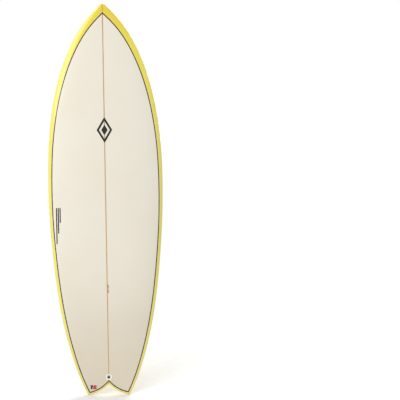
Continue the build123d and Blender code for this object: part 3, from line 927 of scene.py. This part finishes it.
def printed(name, ink, wear_and_shade, pattern=None):
    """Ink on thin paper under the gloss coat: mottled, with a little of the paper showing."""
    p = Paint(name, 0.34, coat=1.0, coat_roughness=POLISHED)
    mottle = p.noise(160.0, 5.0, 0.65)
    colour = p.mix(p.between(mottle, 0.48, 0.78, 0.0, 0.8), ink, wear_and_shade)
    if pattern is not None:
        colour = pattern(p, colour)
    fibre = p.noise(1.0, 3.0, 0.5, p.scaled(1500, 400, 500))
    rough = p.between(mottle, 0.3, 0.7, 0.28, 0.42)
    return p.finish(colour, rough, p.bump(fibre, 0.00002, 0.3), gloss_waves(p))


def pale_rings(p, colour):
    """Pale rings about the middles of the bottom's rosette and disc."""
    for height, at, half in PALE_RINGS:
        near = p.math("ABSOLUTE", p.math("SUBTRACT", p.radius(height), at))
        ring = p.between(near, half + RING_EDGE, half - RING_EDGE)
        colour = p.mix(ring, colour, srgb(226, 214, 180))
    return colour


def sticker_bands(p, colour):
    """Plain slanting bands on the tail sticker: a pale line, then a wide red band."""
    x, _, z = p.axes()
    along = p.math("SUBTRACT", x, p.math("MULTIPLY", z, 0.35))
    colour = p.mix(p.between(along, -0.0885, -0.0881), colour, srgb(240, 236, 226))
    return p.mix(p.between(along, -0.0868, -0.0864), colour, srgb(196, 62, 58))


def plug_plastic():
    """Glass-filled nylon, sanded flush with the hull, with painted shade in the leash plug's well."""
    p = Paint("plug_nylon", 0.5)
    cloud = p.noise(120.0, 4.0, 0.6)
    colour = p.mix(p.between(cloud, 0.3, 0.7), srgb(250, 246, 236), srgb(243, 237, 222))
    scratch = p.noise(1.0, 3.0, 0.7, p.scaled(2200, 400, 160))
    rough = p.between(scratch, 0.3, 0.7, 0.38, 0.62)
    # Painted shade: the inside of the leash plug's well is darkened, standing in for the shadow in the
    # recess
    well_shade = p.between(p.radius(LEASH_Z * MM), *WELL_SHADE_EDGE)
    colour = p.mix(well_shade, colour, srgb(124, 96, 88))
    return p.finish(colour, rough, p.bump(scratch, 0.00003, 0.5))


def steel(name, light, dark):
    """Turned steel with fine tool marks."""
    p = Paint(name, 0.35, 1.0)
    lines = p.noise(1.0, 3.0, 0.6, p.scaled(3000, 3000, 500))
    colour = p.mix(p.between(lines, 0.3, 0.7), light, dark)
    return p.finish(colour, p.between(lines, 0.3, 0.7, 0.25, 0.5), p.bump(lines, 0.00002, 0.4))


def foam():
    """Closed-cell foam, cut and planed."""
    p = Paint("foam_core", 0.85)
    cells = p.noise(1400.0, 3.0, 0.6)
    colour = p.mix(p.between(cells, 0.3, 0.7), srgb(246, 242, 230), srgb(232, 226, 208))
    return p.finish(colour, None, p.bump(cells, 0.0001, 0.6))


def cloth():
    """Bare glass cloth of the patches, under the laminates."""
    p = Paint("glass_cloth", 0.45)
    weave = p.weave()
    colour = p.mix(p.between(weave, -1, 1, 0, 1, False), srgb(236, 232, 218), srgb(222, 216, 198))
    return p.finish(colour, None, p.bump(weave, 0.0001, 0.6))


def planed_wood():
    """The stringer's wood."""
    p = Paint("stringer_basswood", 0.6)
    return p.finish(wood_colour(p, srgb(222, 190, 142), srgb(190, 148, 98)))


RESIN_CLEAR, RESIN_YELLOW, RESIN_PINLINE = clear_resin(), yellow_resin(), pinline_resin()
INK_BLACK = printed("print_black", srgb(9, 8, 8), srgb(26, 24, 22))
INK_GREY = printed("print_grey", srgb(20, 18, 15), srgb(52, 47, 38), pale_rings)
INK_STICKER = printed("print_sticker", srgb(24, 28, 66), srgb(44, 48, 86), sticker_bands)
PLUG, FOAM, CLOTH, WOOD = plug_plastic(), foam(), cloth(), planed_wood()
SCREW = steel("screw_stainless", srgb(120, 108, 92), srgb(70, 60, 50))
PIN = steel("pin_stainless", srgb(200, 196, 188), srgb(140, 134, 124))

PIECES = [
    ("bottom_skin", GLASS, "bottom_laminate", "tinted_glass", RESIN_YELLOW),
    ("pinline_band", GLASS, "pinline", "pinline_resin", RESIN_PINLINE),
    ("deck_skin", GLASS, "deck_laminate", "clear_glass", RESIN_CLEAR),
    ("print_deck_emblem", PRINT, "deck_emblem", "print_black", INK_BLACK),
    ("print_rail_stripes", PRINT, "rail_mark", "print_black", INK_BLACK),
    ("print_tail_sticker", PRINT, "tail_sticker", "print_sticker", INK_STICKER),
    ("print_bottom_rosette", PRINT, "bottom_emblem", "print_grey", INK_GREY),
    ("print_bottom_bars", PRINT, "bottom_mark", "print_black", INK_BLACK),
    ("print_tail_disc", PRINT, "tail_disc", "print_grey", INK_GREY),
]
for name, depth, node, slot, material in PIECES:
    cut_piece(name, depth, node).data.materials.append(material)

SLOT_MATERIALS = {
    "foam": FOAM, "stringer_wood": WOOD, "patch_cloth": CLOTH, "plug_plastic": PLUG,
    "screw_steel": SCREW, "pin_steel": PIN,
}
for part in frame["record"]["subparts"]:
    material = SLOT_MATERIALS.get(part["material_slot"])
    if material is not None:
        node = frame["nodes"][part["node"]]
        for place in node.material_slots:
            place.material = material

# ---- Stage, lights and camera ------------------------------------------------------------------

FLOOR_RADIUS = 9.0
FLOOR_RINGS = 24
FLOOR_SPOKES = 64
FLOOR_FADE = (0.25, 1.6)
FLOOR_GAP = 0.0005
WORLD_LIGHT = 0.52
WORLD_SEEN = 1.0
WORLD_MIRRORED = 0.5


def make_floor():
    """Round pale floor that fades into the background."""
    points, faces = [(0, 0, 0)], []
    for k in range(1, FLOOR_RINGS + 1):
        radius = FLOOR_RADIUS * (k / FLOOR_RINGS) ** 1.6
        for n in range(FLOOR_SPOKES):
            turn = math.tau * n / FLOOR_SPOKES
            points.append((radius * math.cos(turn), radius * math.sin(turn), 0))
    for n in range(FLOOR_SPOKES):
        faces.append((0, 1 + n, 1 + (n + 1) % FLOOR_SPOKES))
    for k in range(FLOOR_RINGS - 1):
        first = 1 + k * FLOOR_SPOKES
        for n in range(FLOOR_SPOKES):
            a, b = first + n, first + (n + 1) % FLOOR_SPOKES
            faces.append((a, a + FLOOR_SPOKES, b + FLOOR_SPOKES, b))
    mesh = bpy.data.meshes.new("floor")
    mesh.from_pydata(points, [], faces)
    floor = bpy.data.objects.new("floor", mesh)
    floor.location = (0, 0.02, cad_low.z - FLOOR_GAP)
    bpy.context.scene.collection.objects.link(floor)
    p = Paint("floor_pale", 0.7)
    grain = p.noise(30.0, 3.0)
    p.finish(p.mix(p.between(grain, 0.3, 0.7), srgb(247, 247, 247), srgb(243, 243, 243)))
    x, y, _ = p.axes()
    radius = p.math("SQRT", p.math("ADD", p.math("MULTIPLY", x, x), p.math("MULTIPLY", y, y)))
    fade = p.between(radius, *FLOOR_FADE)
    clear = p.nodes.new("ShaderNodeBsdfTransparent")
    blend = p.nodes.new("ShaderNodeMixShader")
    p.links.new(fade, blend.inputs[0])
    p.links.new(p.shader.outputs[0], blend.inputs[1])
    p.links.new(clear.outputs[0], blend.inputs[2])
    p.links.new(blend.outputs[0], p.nodes["Material Output"].inputs["Surface"])
    mesh.materials.append(p.material)


# Soft lights: name, place, what it points at, size, power
LIGHTS = (
    ("key", (-2.2, -2.4, 3.0), (0, 0, 1.2), (3.0, 3.0), 84),
    ("fill", (2.8, -2.2, 1.6), (0, 0, 1.0), (2.0, 2.4), 5),
    ("back_key", (2.2, 2.4, 3.0), (0, 0, 1.2), (3.0, 3.0), 84),
    ("back_fill", (-2.8, 2.2, 1.6), (0, 0, 1.0), (2.0, 2.4), 5),
    ("overhead", (0, 0.3, 3.4), (0, 0.3, 0), (3.2, 3.2), 24),
)


def make_light(name, place, target, size, power):
    lamp = bpy.data.lights.new(name, "AREA")
    lamp.shape = "ELLIPSE"
    lamp.size, lamp.size_y = size
    lamp.energy = power
    holder = bpy.data.objects.new(name, lamp)
    holder.location = place
    aim = Vector(target) - Vector(place)
    holder.rotation_euler = aim.to_track_quat("-Z", "Y").to_euler()
    bpy.context.scene.collection.objects.link(holder)


def make_world():
    """White surroundings: full white to the camera, dimmer as a light and in reflections."""
    world = bpy.data.worlds.new("studio")
    world.use_nodes = True
    nodes, links = world.node_tree.nodes, world.node_tree.links
    background = nodes["Background"]
    background.inputs["Color"].default_value = (1.0, 1.0, 1.0, 1)
    path = nodes.new("ShaderNodeLightPath")
    seen = nodes.new("ShaderNodeMath")
    seen.operation = "MULTIPLY_ADD"
    links.new(path.outputs["Is Glossy Ray"], seen.inputs[0])
    seen.inputs[1].default_value = WORLD_MIRRORED
    links.new(path.outputs["Is Camera Ray"], seen.inputs[2])
    level = nodes.new("ShaderNodeMapRange")
    level.inputs["To Min"].default_value = WORLD_LIGHT
    level.inputs["To Max"].default_value = WORLD_SEEN
    links.new(seen.outputs[0], level.inputs["Value"])
    links.new(level.outputs["Result"], background.inputs["Strength"])
    bpy.context.scene.world = world


CAMERA_DISTANCE = 2.2
CAMERA_LENS = 42.08
CAMERA_SHIFT = 0.2358
CAMERA_ROLL = math.radians(-1.03)
CAMERA_HEIGHT = 0.8998
BOARD_Y = 0.038


def make_camera():
    data = bpy.data.cameras.new("camera")
    data.sensor_width = 36.0
    data.lens = CAMERA_LENS
    data.shift_x = CAMERA_SHIFT
    data.clip_end = 60
    camera = bpy.data.objects.new("camera", data)
    camera.location = (0.0, BOARD_Y - CAMERA_DISTANCE, CAMERA_HEIGHT)
    camera.rotation_euler = (math.pi / 2, 0, 0)
    camera.rotation_euler.rotate_axis("Z", CAMERA_ROLL)
    bpy.context.scene.collection.objects.link(camera)
    bpy.context.scene.camera = camera


make_floor()
for light in LIGHTS:
    make_light(*light)
make_world()
make_camera()
bpy.context.scene.view_settings.view_transform = "Standard"
